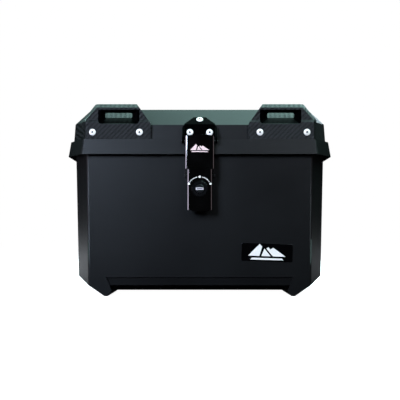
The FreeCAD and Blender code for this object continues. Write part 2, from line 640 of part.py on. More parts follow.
def make_latch_keeper():
    """A channel open to the front; the cam turns into the window of one of its two flanges."""
    body = new_body("latch_keeper")
    back = new_sketch(body, "XZ_Plane", d.pad_face)
    draw_polygon(back, box_points(-d.keeper_half, d.keeper_low, d.keeper_half, d.keeper_high))
    extrude(body, "Pad", back, d.sheet_metal)
    for side in (-1, 1):
        flange = new_sketch(body, "YZ_Plane", (d.keeper_half - d.sheet_metal / 2) * side)
        draw_polygon(flange, [(-d.pad_face, d.keeper_low), (-d.pad_face, d.keeper_high),
                              (-d.keeper_front + 3, d.keeper_high), (-d.keeper_front, d.keeper_high - 3),
                              (-d.keeper_front, d.keeper_low + 3), (-d.keeper_front + 3, d.keeper_low)])
        extrude(body, "Pad", flange, d.sheet_metal, both_ways=True)
    window = new_sketch(body, "YZ_Plane")
    draw_polygon(window, box_points(-d.cam_front - 1.5, d.lock_height - 15,
                                    d.cam_thick + 1 - d.cam_front, d.lock_height + 6.5))
    extrude(body, "Pocket", window, 60, both_ways=True)
    return drill(body, KEEPER_RIVETS, d.rivet_shank + d.rivet_play, reverse=True)


def make_badge_plate():
    """A thin plate that lies on the drafted front wall, turned a little clockwise."""
    body = new_body("badge_plate")
    face = new_sketch(body, "XZ_Plane")
    draw_polygon(face, box_points(-d.badge_width / 2, -d.badge_height / 2,
                                  d.badge_width / 2, d.badge_height / 2))
    extrude(body, "Pad", face, d.badge_thick)
    round_edges(body, d.badge_round, lambda edge: edge.BoundBox.YLength > 1 and edge.BoundBox.XLength < 0.1)
    draft = math.degrees(math.atan(DIMENSIONS["foot_inset"] / DIMENSIONS["rim_top"]))
    tilt = Rotation(Vector(0, 1, 0), DIMENSIONS["badge_tilt"])
    body.Placement = Placement(Vector(0, 0, 0), Rotation(Vector(1, 0, 0), draft).multiply(tilt))
    bind(body, "Placement.Base.x", d.badge_x)
    bind(body, "Placement.Base.y", d.foot_inset - d.rim_half_depth - d.foot_inset * d.badge_z / d.rim_top)
    bind(body, "Placement.Base.z", d.badge_z)
    return body


# ---------------------------------------------------------------- rear hinges
def make_lower_leaf(name, side):
    """The case half: a plate on the rear pad, and an arm up to the middle knuckle."""
    body = new_body(name)
    centre = d.hinge_x * side
    plate = new_sketch(body, "YZ_Plane", centre)
    draw_polygon(plate, box_points(d.pad_face, d.lower_rivet_z - 9, d.pad_face + d.sheet_metal,
                                   d.lower_rivet_z + 13))
    extrude(body, "Pad", plate, d.leaf_half * 2, both_ways=True)
    arm = new_sketch(body, "YZ_Plane", centre)
    draw_polygon(arm, [(d.pad_face, d.lower_rivet_z + 8), (d.pad_face + 2, d.lower_rivet_z + 6.5),
                       (d.hinge_y + 4, d.hinge_z - 3), (d.hinge_y, d.hinge_z + 2),
                       (d.hinge_y - 4.5, d.hinge_z), (d.pad_face, d.lower_rivet_z + 13)])
    extrude(body, "Pad", arm, d.knuckle_half * 2, both_ways=True)
    return add_knuckles(body, [(centre, d.knuckle_half * 2)], d.hinge_pin)


def make_upper_leaf(name, side):
    """The lid half: a plate on the sloping skirt, and arms down to the two outer knuckles."""
    body = new_body(name)
    centre = d.hinge_x * side
    low_face = d.rim_half_depth + d.skirt_out_low
    slope = (d.skirt_out_low - d.skirt_out_high) / (d.skirt_top - d.skirt_bottom)
    low, high = d.skirt_bottom + 3, d.skirt_top - 1
    plate = new_sketch(body, "YZ_Plane", centre)
    draw_polygon(plate, [(low_face - slope * 3, low), (low_face - slope * 3 + d.sheet_metal, low),
                         (low_face - slope * 24 + d.sheet_metal, high), (low_face - slope * 24, high)])
    extrude(body, "Pad", plate, d.leaf_half * 2, both_ways=True)
    outer = d.leaf_half - d.knuckle_half - d.knuckle_gap
    knuckles = [(centre + (d.leaf_half - outer / 2) * end, outer) for end in (-1, 1)]
    for middle, length in knuckles:
        arm = new_sketch(body, "YZ_Plane", middle)
        draw_polygon(arm, [(low_face - slope * 3 + 0.5, low), (d.hinge_y - 3, d.hinge_z - 1),
                           (d.hinge_y + 4, d.hinge_z + 2), (low_face - slope * 8 + d.sheet_metal, low + 5)])
        extrude(body, "Pad", arm, length, both_ways=True)
    return add_knuckles(body, knuckles, d.hinge_pin + d.turn_gap)


def add_knuckles(body, knuckles, bore_radius):
    """A round barrel about the hinge axis at each (middle, length), and the bore through them."""
    for middle, length in knuckles:
        barrel = new_sketch(body, "YZ_Plane", middle)
        draw_circle(barrel, d.hinge_y, d.hinge_z, d.barrel)
        extrude(body, "Pad", barrel, length, both_ways=True)
    bore = new_sketch(body, "YZ_Plane", knuckles[0][0])
    draw_circle(bore, d.hinge_y, d.hinge_z, bore_radius)
    extrude(body, "Pocket", bore, 160, both_ways=True)
    return body


# ---------------------------------------------------------------- rivets
def rivet(grip):
    """A blind rivet along Z: domed head above z = 0, shank through the grip, flared end below."""
    head, shank, dome, bore, flare, flare_thick = (
        DIMENSIONS[f"rivet_{part}"] for part in ("head", "shank", "dome", "bore", "flare", "flare_thick"))
    rim, end = 0.5, -grip - flare_thick
    crown = Part.Arc(Vector(head, 0, rim), Vector(head * 0.62, 0, dome * 0.86), Vector(bore, 0, dome))
    corners = [(bore, dome), (bore, rim), (0, rim), (0, end), (flare, end), (flare, -grip),
               (shank, -grip), (shank, 0), (head, 0), (head, rim)]
    points = [Vector(x, 0, z) for x, z in corners]
    edges = [Part.LineSegment(a, b).toShape() for a, b in zip(points, points[1:])]
    profile = Part.Face(Part.Wire(edges + [crown.toShape()]))
    return profile.revolve(Vector(0, 0, 0), Vector(0, 0, 1), 360)


def make_rivets(name, seats):
    """A group of separate rivets; each seat is (point under the head, outward direction, grip)."""
    solids = []
    for point, outward, grip in seats:
        solid = rivet(grip)
        solid.Placement = Placement(Vector(*point), Rotation(Vector(0, 0, 1), Vector(*outward)))
        solids.append(solid)
    group = doc.addObject("Part::Feature", name)
    group.Label = name
    group.Shape = Part.makeCompound(solids)
    group.Placement = Placement()
    return group


def leaning_seats(places, end, foot_z, foot_y, lean, grip):
    """Seats on a face that passes (foot_y, foot_z) and leans inwards by lean per mm of height."""
    seats = []
    for x, z in places:
        height = wrap(z).value
        face_y = foot_y - lean * (height - foot_z)
        seats.append(((wrap(x).value, face_y * end, height), (0, end, lean), grip))
    return seats


def make_all_rivets():
    """Every rivet of the case, in one group per job."""
    v = DIMENSIONS
    cap_places = [(x * side, v["cap_rivet_height"]) for side in (-1, 1)
                  for x in (v["cap_rivet_in"], v["cap_rivet_out"])]
    cap_face = v["rim_half_depth"] - v["wall_in_low"] + v["cap_out"]
    for name, end in (("cap_rivets_front", -1), ("cap_rivets_rear", 1)):
        make_rivets(name, leaning_seats(cap_places, end, v["cap_low"], cap_face, 0, v["cap_grip"]))

    plate = v["sheet_metal"]
    wall_lean = (v["wall_in_high"] - v["wall_in_low"]) / (v["fold_height"] - v["skirt_top"])
    wall_face = v["rim_half_depth"] - v["wall_in_low"] + plate
    bracket = leaning_seats(BRACKET_RIVETS[:2], -1, v["skirt_top"], wall_face + 0.05, wall_lean,
                            v["bracket_grip"])
    slope_y = v["slope_rivet_z"] - v["fold_height"] + v["wall_in_high"] - v["rim_half_depth"]
    lift = plate / math.sqrt(2)
    bracket.append(((0, slope_y - lift, v["slope_rivet_z"] + lift), (0, -1, 1), v["bracket_grip"]))
    make_rivets("latch_bracket_rivets", bracket)

    skirt_lean = (v["skirt_out_low"] - v["skirt_out_high"]) / (v["skirt_top"] - v["skirt_bottom"])
    make_rivets("hinge_upper_rivets", leaning_seats(
        UPPER_LEAF_RIVETS, 1, v["skirt_bottom"], v["rim_half_depth"] + v["skirt_out_low"] + plate,
        skirt_lean, v["upper_leaf_grip"]))
    make_rivets("hinge_lower_rivets", leaning_seats(
        LOWER_LEAF_RIVETS, 1, 0, v["pad_face"] + plate, 0, v["lower_leaf_grip"]))
    make_rivets("keeper_rivets", leaning_seats(
        KEEPER_RIVETS, -1, 0, v["pad_face"] + plate, 0, v["keeper_grip"]))


# ---------------------------------------------------------------- the whole case
make_base_shell()
make_floor_piece("floor_plate", d.floor_top, d.plate_thick, d.bolt_hole)
make_floor_piece("floor_mat", d.floor_top + d.plate_thick, d.mat_thick, d.mat_hole)
make_rim_seal()
make_latch_keeper()
make_badge_plate()
make_lid_shell()
for side, side_name in ((-1, "left"), (1, "right")):
    make_corner_cap(f"corner_cap_front_{side_name}", side, -1)
    make_corner_cap(f"corner_cap_rear_{side_name}", side, 1)
    lower_leaf = make_lower_leaf(f"hinge_lower_leaf_{side_name}", side)
    drill(lower_leaf, LOWER_LEAF_RIVETS, d.rivet_shank + d.rivet_play)
    upper_leaf = make_upper_leaf(f"hinge_upper_leaf_{side_name}", side)
    drill(upper_leaf, UPPER_LEAF_RIVETS, d.rivet_shank + 3 * d.rivet_play)
    make_pin(f"hinge_pin_{side_name}", d.hinge_y, d.hinge_z, d.hinge_pin, d.leaf_half + 0.5, d.hinge_x * side)
make_latch_bracket()
make_pin("hasp_pivot_pin", -d.hasp_axis_y, d.hasp_axis_z, d.pivot_pin, d.ear_out + 1)
make_hasp_plate()
make_pin("lever_pivot_pin", -d.lever_axis_y, d.lever_axis_z, d.pivot_pin, d.hasp_half + 1.2)
make_lever_plate()
make_lock_housing()
make_lock_nut()
make_lock_plug()
make_lock_cam()
make_cam_screw()
make_all_rivets()
doc.recompute()

# ---------------------------------------------------------------- checks and export
failed = [item.Label for item in doc.Objects if {"Invalid", "Error"} & set(item.State)]
if failed:
    raise RuntimeError(f"features that failed: {failed}")
parts = [item for item in doc.Objects if item.TypeId in ("PartDesign::Body", "Part::Feature")
         and item.Label == item.Name]
for part in parts:
    if part.Shape.isNull() or not part.Shape.isValid() or not part.Shape.Solids:
        raise RuntimeError(f"{part.Label} has no valid solid")
for part in parts:
    part.Shape.exportStep(f"parts/{part.Label}.step")
    box = part.Shape.optimalBoundingBox()
    print(f"{part.Label:26s} {len(part.Shape.Solids)} solid(s) {part.Shape.Volume / 1000:9.2f} cm3"
          f"  x {box.XMin:7.1f} {box.XMax:7.1f}  y {box.YMin:7.1f} {box.YMax:7.1f}"
          f"  z {box.ZMin:6.1f} {box.ZMax:6.1f}")
print(len(parts), "sub-parts")
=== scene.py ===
"""Looks of the motorcycle top case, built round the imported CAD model. Metres, front at -Y."""
import json
import math

import bmesh
import bpy
import numpy as np
from mathutils import Matrix, Vector


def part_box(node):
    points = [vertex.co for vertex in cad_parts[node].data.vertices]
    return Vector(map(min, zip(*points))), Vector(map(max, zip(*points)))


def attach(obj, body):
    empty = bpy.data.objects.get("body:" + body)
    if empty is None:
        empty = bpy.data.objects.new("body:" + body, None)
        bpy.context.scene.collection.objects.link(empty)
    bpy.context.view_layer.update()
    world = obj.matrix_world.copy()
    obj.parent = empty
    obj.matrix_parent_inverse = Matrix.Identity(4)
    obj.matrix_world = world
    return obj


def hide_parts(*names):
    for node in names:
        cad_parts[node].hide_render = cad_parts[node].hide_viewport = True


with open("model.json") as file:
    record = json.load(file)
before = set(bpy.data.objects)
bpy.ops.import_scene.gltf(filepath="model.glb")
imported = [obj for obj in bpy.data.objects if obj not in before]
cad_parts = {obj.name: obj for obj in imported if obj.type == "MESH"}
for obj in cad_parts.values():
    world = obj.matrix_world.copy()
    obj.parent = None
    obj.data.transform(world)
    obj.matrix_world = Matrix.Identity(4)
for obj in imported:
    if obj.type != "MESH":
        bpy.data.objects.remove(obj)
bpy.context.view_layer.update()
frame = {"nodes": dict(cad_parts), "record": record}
MM = 0.001
BODY_OF = {node: body for body, nodes in frame["record"]["behaviour"]["bodies"].items() for node in nodes}
SLOT_OF = {entry["node"]: entry["material_slot"] for entry in frame["record"]["subparts"]}


# ---------------------------------------------------------------- camera
CAMERA_DISTANCE = 1.30      # from the front wall
CAMERA_HEIGHT = 0.095
VIEW_WIDTH = 0.656          # what the picture spans at the front wall
AIM_HEIGHT = 0.158


def make_camera():
    data = bpy.data.cameras.new("camera")
    data.sensor_width = 36
    data.lens = data.sensor_width * CAMERA_DISTANCE / VIEW_WIDTH
    camera = bpy.data.objects.new("camera", data)
    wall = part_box("base_shell")[0].y
    camera.location = (0.0005, wall - CAMERA_DISTANCE, CAMERA_HEIGHT)
    aim = Vector((0.0005, wall, AIM_HEIGHT))
    camera.rotation_euler = (aim - camera.location).to_track_quat("-Z", "Y").to_euler()
    bpy.context.collection.objects.link(camera)
    bpy.context.scene.camera = camera


# ---------------------------------------------------------------- shader nodes
class Nodes:
    """A material's node tree, with short calls for the nodes that these materials use."""

    def __init__(self, name):
        self.material = bpy.data.materials.new(name)
        self.material.use_nodes = True
        self.tree = self.material.node_tree
        self.shader = self.tree.nodes["Principled BSDF"]

    def add(self, kind, **settings):
        node = self.tree.nodes.new(f"ShaderNode{kind}")
        for key, value in settings.items():
            setattr(node, key, value)
        return node

    def link(self, source, target):
        self.tree.links.new(source, target)

    def feed(self, socket, value):
        """Link an output, or set a plain value."""
        if isinstance(value, bpy.types.NodeSocket):
            self.link(value, socket)
        else:
            socket.default_value = value

    def math(self, operation, first, second=0.0):
        node = self.add("Math", operation=operation)
        self.feed(node.inputs[0], first)
        self.feed(node.inputs[1], second)
        return node.outputs[0]

    def place(self):
        """The point in the row frame."""
        return self.add("TexCoord").outputs["Object"]

    def axes(self):
        split = self.add("SeparateXYZ")
        self.link(self.place(), split.inputs[0])
        return split.outputs

    def noise(self, scale, detail=4.0, roughness=0.5, vector=None):
        node = self.add("TexNoise")
        node.inputs["Scale"].default_value = scale
        node.inputs["Detail"].default_value = detail
        node.inputs["Roughness"].default_value = roughness
        self.link(vector or self.place(), node.inputs["Vector"])
        return node.outputs["Fac"]

    def spread(self, value, low, high, from_low=0.3, from_high=0.7):
        """A 0 to 1 pattern stretched to run from low to high."""
        node = self.add("MapRange")
        self.link(value, node.inputs["Value"])
        for socket, number in zip(("From Min", "From Max", "To Min", "To Max"),
                                  (from_low, from_high, low, high)):
            node.inputs[socket].default_value = number
        return node.outputs["Result"]

    def blend(self, factor, first, second):
        node = self.add("Mix", data_type="RGBA")
        self.feed(node.inputs[0], factor)
        self.feed(node.inputs[6], first)
        self.feed(node.inputs[7], second)
        return node.outputs[2]

    def bump(self, height, distance, strength=1.0, normal=None):
        node = self.add("Bump")
        node.inputs["Distance"].default_value = distance
        node.inputs["Strength"].default_value = strength
        self.link(height, node.inputs["Height"])
        if normal:
            self.link(normal, node.inputs["Normal"])
        return node.outputs["Normal"]

    def finish(self, **sockets):
        for name, value in sockets.items():
            self.feed(self.shader.inputs[name.replace("_", " ")], value)
        return self.material


def rgb(red, green, blue):
    return (red, green, blue, 1.0)


def moulded_plastic(name, tone, roughness, grain=0.35, specular=0.24):
    """Satin moulded ABS: spark-eroded grain, faint flow marks, and a little dust-like unevenness."""
    n = Nodes(name)
    dark = rgb(*(part * 0.75 for part in tone))
    light = rgb(*(part * 1.25 for part in tone))
    cloud = n.noise(9, detail=6)
    fine = n.noise(1400, detail=2)
    grained = n.bump(fine, grain * MM * 0.25, 0.5)
    colour = n.blend(n.spread(cloud, 0, 1), dark, light)
    rough = n.math("ADD", n.spread(cloud, -0.03, 0.03), n.spread(fine, roughness - 0.05, roughness + 0.05))
    return n.finish(Base_Color=colour, Roughness=rough, Normal=grained, Specular_IOR_Level=specular)


# The tapered throat of each strap window, where shade is painted: how far out it reaches on X and on Y, and
# how high, in mm.
THROAT_SHADE_BOX = ((99.6, 168), (166.6, 174.6), (283.2, 307.8))


def twill_plastic(name, tone, thread=1.95 * MM):
    """Black plastic with the relief of a 2/2 carbon twill, and painted shade in the throats of the strap
    windows: black, unreflecting and smooth there.
    """
    n = Nodes(name)
    x, y, z = n.axes()[:3]
    # The throats of the strap windows, where shade is painted.
    throat_shade_mask = 1.0
    for axis, (low, high) in zip((n.math("ABSOLUTE", x), n.math("ABSOLUTE", y), z), THROAT_SHADE_BOX):
        off_centre = n.math("ABSOLUTE", n.math("SUBTRACT", axis, (low + high) / 2 * MM))
        throat_shade_mask = n.math("MULTIPLY", n.math("LESS_THAN", off_centre, (high - low) / 2 * MM), throat_shade_mask)
    across = n.math("DIVIDE", n.math("ADD", x, y), thread)
    up = n.math("DIVIDE", z, thread)
    turned = n.math("SUBTRACT", n.math("FLOOR", across), n.math("FLOOR", up))
    phase = n.math("FLOORED_MODULO", turned, 4.0)
    warp = n.math("LESS_THAN", phase, 1.5)
    weft = n.math("SUBTRACT", 1.0, warp)
    crown_u = n.math("SINE", n.math("MULTIPLY", n.math("FRACT", across), math.pi))
    crown_v = n.math("SINE", n.math("MULTIPLY", n.math("FRACT", up), math.pi))
    height = n.math("ADD", n.math("MULTIPLY", warp, crown_u), n.math("MULTIPLY", weft, crown_v))
    height = n.math("MULTIPLY", height, n.math("SUBTRACT", 1.0, throat_shade_mask))
    fibre = n.noise(2200, detail=1)
    relief = n.bump(height, 0.3 * MM, 0.9)
    relief = n.bump(fibre, 0.05 * MM, 0.25, relief)
    dark = rgb(*(part * 0.3 for part in tone))
    light = rgb(*(part * 2.2 for part in tone))
    # Painted shade: near-black colour, and full Metallic on that black, make the throats unreflecting,
    # standing in for the shade under each cap's bar.
    colour = n.blend(throat_shade_mask, n.blend(warp, dark, light), rgb(0.0004, 0.0004, 0.0005))
    rough = n.math("ADD", n.math("MULTIPLY", warp, 0.16), 0.34)
    return n.finish(Base_Color=colour, Metallic=throat_shade_mask, Roughness=rough, Normal=relief,
                    Specular_IOR_Level=0.24)


def powder_coat(name, tone, roughness, peel=0.06, specular=0.5, ior=1.5):
    """Painted metal: a fine orange peel, and slightly uneven gloss."""
    n = Nodes(name)
    skin = n.noise(420, detail=2)
    cloud = n.noise(30, detail=5)
    colour = n.blend(n.spread(cloud, 0, 1), rgb(*(p * 0.8 for p in tone)), rgb(*(p * 1.2 for p in tone)))
    return n.finish(Base_Color=colour, Roughness=n.spread(cloud, roughness - 0.03, roughness + 0.04),
                    Normal=n.bump(skin, peel * MM, 0.35), Specular_IOR_Level=specular, IOR=ior)


def bare_metal(name, tone, roughness, streak=(1, 1, 1), metallic=1.0):
    """Metal with fine drawn or turned marks; streak stretches the marks along an axis."""
    n = Nodes(name)
    mapping = n.add("Mapping")
    mapping.inputs["Scale"].default_value = streak
    n.link(n.place(), mapping.inputs["Vector"])
    marks = n.noise(900, detail=3, vector=mapping.outputs[0])
    cloud = n.noise(60, detail=4)
    colour = n.blend(n.spread(cloud, 0, 1), rgb(*(p * 0.85 for p in tone)), rgb(*tone))
    return n.finish(Base_Color=colour, Metallic=metallic, Normal=n.bump(marks, 0.03 * MM, 0.3),
                    Roughness=n.spread(marks, roughness - 0.06, roughness + 0.08))


def ribbed_rubber(name, tone, pitch=6 * MM, depth=0.8 * MM):
    """A matt rubber mat with rounded ribs across the case."""
    n = Nodes(name)
    across = n.math("MULTIPLY", n.axes()[1], 2 * math.pi / pitch)
    ribs = n.bump(n.math("ABSOLUTE", n.math("SINE", across)), depth)
    dust = n.noise(180, detail=6)
    colour = n.blend(n.spread(dust, 0, 1), rgb(*(p * 0.8 for p in tone)), rgb(*(p * 1.4 for p in tone)))
    return n.finish(Base_Color=colour, Roughness=n.spread(dust, 0.68, 0.84), Specular_IOR_Level=0.25,
                    Normal=n.bump(n.noise(900, detail=3), 0.06 * MM, 0.5, ribs))


def rubber(name, tone, roughness=0.75, pore_scale=700, pore_depth=0.08):
    """Matt rubber or sponge with open pores."""
    n = Nodes(name)
    pores = n.noise(pore_scale, detail=5, roughness=0.6)
    cloud = n.noise(25, detail=5)
    colour = n.blend(n.spread(cloud, 0, 1), rgb(*(p * 0.8 for p in tone)), rgb(*(p * 1.3 for p in tone)))
    return n.finish(Base_Color=colour, Roughness=n.spread(pores, roughness - 0.08, roughness + 0.08),
                    Normal=n.bump(pores, pore_depth * MM, 0.6), Specular_IOR_Level=0.3)


def printed_ink(name, tone):
    """Thin ink, a little worn."""
    n = Nodes(name)
    worn = n.noise(600, detail=3)
    colour = n.blend(n.spread(worn, 0, 1), rgb(*(p * 0.88 for p in tone)), rgb(*tone))
    return n.finish(Base_Color=colour, Roughness=0.45, Normal=n.bump(worn, 0.02 * MM, 0.2))


MATERIALS = {
    "case_plastic": moulded_plastic("case_plastic", (0.0010, 0.0011, 0.0012), 0.42),
    "lid_plastic": moulded_plastic("lid_plastic", (0.0010, 0.0011, 0.0012), 0.44, specular=0.22),
    "cap_plastic": twill_plastic("cap_plastic", (0.0030, 0.0031, 0.0034)),
    "plate_steel": powder_coat("plate_steel", (0.03, 0.03, 0.032), 0.45),
    "mat_rubber": ribbed_rubber("mat_rubber", (0.014, 0.014, 0.015)),
    "seal_rubber": rubber("seal_rubber", (0.010, 0.010, 0.010), 0.85, 1600, 0.15),
    "keeper_steel": bare_metal("keeper_steel", (0.58, 0.58, 0.60), 0.34, (1, 1, 12)),
    "badge_gloss": powder_coat("badge_gloss", (0.0008, 0.0008, 0.001), 0.12, 0.008),
    "latch_gloss": powder_coat("latch_gloss", (0.0003, 0.0003, 0.0003), 0.07, 0.004, ior=2.5),
    "bracket_black": powder_coat("bracket_black", (0.0004, 0.0004, 0.0004), 0.34, 0.02, specular=0.005),
    "pin_steel": bare_metal("pin_steel", (0.05, 0.05, 0.052), 0.3, (12, 1, 1)),
    "lock_black": powder_coat("lock_black", (0.002, 0.002, 0.0022), 0.22, 0.02, specular=0.3),
    "lock_face": powder_coat("lock_face", (0.003, 0.003, 0.0034), 0.3, 0.02, specular=0.3),
    "nut_steel": bare_metal("nut_steel", (0.55, 0.55, 0.56), 0.3),
    "rivet_dark": powder_coat("rivet_dark", (0.02, 0.02, 0.021), 0.35),
    # Partly painted highlight: the rivets are bright aluminium, and their near-white, mostly unmetallic tone
    # stands in for the glare of their reflection.
    "rivet_bright": bare_metal("rivet_bright", (1.0, 0.93, 0.86), 0.5, metallic=0.15),
    "hinge_black": powder_coat("hinge_black", (0.006, 0.006, 0.0065), 0.34),
    # Painted shade: the mandrels are near-black and matt, standing in for the shade in each rivet's bore.
    "mandrel_painted_shade": rubber("mandrel_painted_shade", (0.004, 0.004, 0.004), 0.8),
    "keyway_steel": bare_metal("keyway_steel", (0.78, 0.70, 0.72), 0.42, metallic=0.5),
    "white_ink": printed_ink("white_ink", (0.96, 0.91, 0.84)),
    "rose_ink": printed_ink("rose_ink", (0.90, 0.66, 0.62)),
}


# ---------------------------------------------------------------- pieces
def smooth_by_angle(mesh, degrees=32):
    mesh.shade_smooth()
    mesh.set_sharp_from_angle(angle=math.radians(degrees))


def add_piece(name, mesh, body, material):
    piece = bpy.data.objects.new(name, mesh)
    bpy.context.collection.objects.link(piece)
    mesh.materials.clear()
    mesh.materials.append(MATERIALS[material])
    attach(piece, body)
    return piece


def mesh_from(bm, name):
    mesh = bpy.data.meshes.new(name)
    bm.to_mesh(mesh)
    bm.free()
    return mesh


def softened(node, width, segments=3, sharper_than=20):
    """A copy of a CAD node's mesh with its hard edges rolled over, which stands for that node."""
    bm = bmesh.new()
    bm.from_mesh(frame["nodes"][node].data)
    bmesh.ops.remove_doubles(bm, verts=bm.verts, dist=0.01 * MM)
    bmesh.ops.dissolve_limit(bm, angle_limit=math.radians(0.6), verts=bm.verts, edges=bm.edges)
    hard = [edge for edge in bm.edges if len(edge.link_faces) == 2
            and edge.calc_face_angle() > math.radians(sharper_than)]
    bmesh.ops.bevel(bm, geom=hard, offset=width, segments=segments, profile=0.5, affect="EDGES",
                    clamp_overlap=True)
    mesh = mesh_from(bm, f"{node}_soft")
    smooth_by_angle(mesh)
    piece = add_piece(f"{node}_visual", mesh, BODY_OF[node], SLOT_OF[node])
    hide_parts(node)
    weighted = piece.modifiers.new("weighted", "WEIGHTED_NORMAL")
    weighted.keep_sharp = True


EDGE_RADII = {
    "base_shell": 1.6, "lid_shell": 1.8, "latch_keeper": 0.4, "badge_plate": 0.35, "latch_bracket": 0.5,
    "hasp_plate": 0.55, "lever_plate": 0.55, "floor_plate": 0.3, "rim_seal": 1.4, "lock_nut": 0.3,
    "lock_cam": 0.3, "hinge_lower_leaf_left": 0.4, "hinge_lower_leaf_right": 0.4,
    "hinge_upper_leaf_left": 0.4, "hinge_upper_leaf_right": 0.4, "corner_cap_front_left": 1.2,
    "corner_cap_front_right": 1.2, "corner_cap_rear_left": 1.2, "corner_cap_rear_right": 1.2,
}


def make_softened_nodes():
    for node, radius in EDGE_RADII.items():
        softened(node, radius * MM)


def islands(mesh):
    """The separate shells of a mesh, each as an array of its points."""
    bm = bmesh.new()
    bm.from_mesh(mesh)
    bmesh.ops.remove_doubles(bm, verts=bm.verts, dist=0.001 * MM)
    bm.verts.ensure_lookup_table()
    seen = [False] * len(bm.verts)
    found = []
    for first in bm.verts:
        if seen[first.index]:
            continue
        seen[first.index] = True
        shell = [first]
        for vert in shell:
            for edge in vert.link_edges:
                other = edge.other_vert(vert)
                if not seen[other.index]:
                    seen[other.index] = True
                    shell.append(other)
        found.append(np.array([vert.co[:] for vert in shell]))
    bm.free()
    return found


def turned_axis(points):
    """The axis of a turned shape and the middle of its widest rim, the axis pointing towards that rim."""
    middle = (points.max(axis=0) + points.min(axis=0)) / 2
    spread, directions = np.linalg.eigh(np.cov((points - points.mean(axis=0)).T))
    odd = 0 if spread[1] - spread[0] > spread[2] - spread[1] else 2
    axis = directions[:, odd]
    radius = np.linalg.norm(np.cross(points - points.mean(axis=0), axis), axis=1)
    rim = points[radius > radius.max() * 0.98].mean(axis=0)
    if (rim - middle) @ axis < 0:
        axis = -axis
    return Vector(axis), Vector(rim)


MANDREL_RADIUS = 1.85
MANDREL_LENGTH = 0.5
MANDREL_MIDDLE = 1.4        # above the middle of the head's rim


def make_mandrels(node):
    """The broken-off mandrel that closes the bore of each rivet of a group, coloured near-black as painted
    shade of the bore.
    """
    bm = bmesh.new()
    for points in islands(frame["nodes"][node].data):
        axis, rim = turned_axis(points)
        turn = axis.to_track_quat("Z", "Y").to_matrix().to_4x4()
        bmesh.ops.create_cone(bm, cap_ends=True, segments=24, radius1=MANDREL_RADIUS * MM,
                              radius2=MANDREL_RADIUS * 0.8 * MM, depth=MANDREL_LENGTH * MM,
                              matrix=Matrix.Translation(rim + axis * MANDREL_MIDDLE * MM) @ turn)
    mesh = mesh_from(bm, f"{node}_mandrels")
    smooth_by_angle(mesh)
    add_piece(f"{node}_mandrels", mesh, BODY_OF[node], "mandrel_painted_shade")


# ---------------------------------------------------------------- printed marks
# A generic mark of two peaks over a ground line, drawn in a box one unit wide, as separate outlines.
PEAKS = [
    [(0.00, 0.10), (0.30, 0.42), (0.37, 0.35), (0.30, 0.10)],
    [(0.35, 0.10), (0.43, 0.30), (0.60, 0.10)],
    [(0.48, 0.30), (0.66, 0.10), (1.00, 0.10), (0.66, 0.33), (0.59, 0.28), (0.53, 0.34)],
    [(0.06, 0.00), (0.94, 0.00), (0.90, 0.05), (0.10, 0.05)],
]
HASP_MARK_WIDTH = 31
BADGE_MARK_WIDTH = 62
BADGE_TILT = 1.9            # degrees
LEGEND_RADIUS = 19.4        # of the arcs and dots round the lock
LEGEND_DOT = 1.9
LEGEND_LINE = 0.9
PLATE_ROLL = 4              # radius between a latch plate's front and its flanges
INK = 0.12                  # how far ink stands proud


def circle_points(radius, degrees, x=0.0, z=0.0):
    """Points on a circle, one at each angle."""
    return [(x + radius * math.cos(math.radians(turn)), z + radius * math.sin(math.radians(turn)))
            for turn in degrees]


def arc_outline(radius, width, start, end, steps=20):
    turns = [start + (end - start) * step / steps for step in range(steps + 1)]
    return circle_points(radius + width / 2, turns) + circle_points(radius - width / 2, turns)[::-1]


def ink_piece(name, outlines, body, material, surface):
    """Thin ink in these outlines; surface(x, z) gives the place of a point of the print."""
    bm = bmesh.new()
    for points in outlines:
        bm.faces.new([bm.verts.new((x * MM, 0, z * MM)) for x, z in points])
    bmesh.ops.triangulate(bm, faces=bm.faces)
    bmesh.ops.subdivide_edges(bm, edges=[e for e in bm.edges if e.calc_length() > 1.5 * MM], cuts=2,
                              use_grid_fill=True)
    grown = bmesh.ops.extrude_face_region(bm, geom=bm.faces[:])
    raised = {v for v in grown["geom"] if isinstance(v, bmesh.types.BMVert)}
    for vert in bm.verts:
        depth = -INK if vert in raised else INK / 2
        vert.co = surface(vert.co.x, vert.co.z, depth * MM)
    bmesh.ops.recalc_face_normals(bm, faces=bm.faces)
    add_piece(name, mesh_from(bm, name), body, material)


def lever_surface(centre_z):
    """Places the print on the lever's front, which rolls back towards its flanges."""
    low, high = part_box("lever_plate")
    roll = PLATE_ROLL * MM

    def place(x, z, depth):
        over = max(0.0, abs(x) - (high.x - roll))
        fall = roll - math.sqrt(max(0.0, roll ** 2 - min(over, roll) ** 2))
        return Vector((x, low.y + fall + depth, z + centre_z))
    return place


def make_legend():
    """Two arcs and three dots round the lock, for the positions of the key."""
    low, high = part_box("lock_housing")
    centre_z = (low.z + high.z) / 2
    outlines = [arc_outline(LEGEND_RADIUS, LEGEND_LINE, start, end) for start, end in ((34, 78), (102, 146))]
    for x, z in circle_points(LEGEND_RADIUS, (25, 90, 155)):
        outlines.append(circle_points(LEGEND_DOT, range(0, 360, 15), x, z))
    ink_piece("lock_legend", outlines, BODY_OF["lever_plate"], "white_ink", lever_surface(centre_z))


def peak_outlines(width):
    """The mark at this width, about its own middle."""
    return [[((x - 0.5) * width, (z - 0.2) * width) for x, z in points] for points in PEAKS]


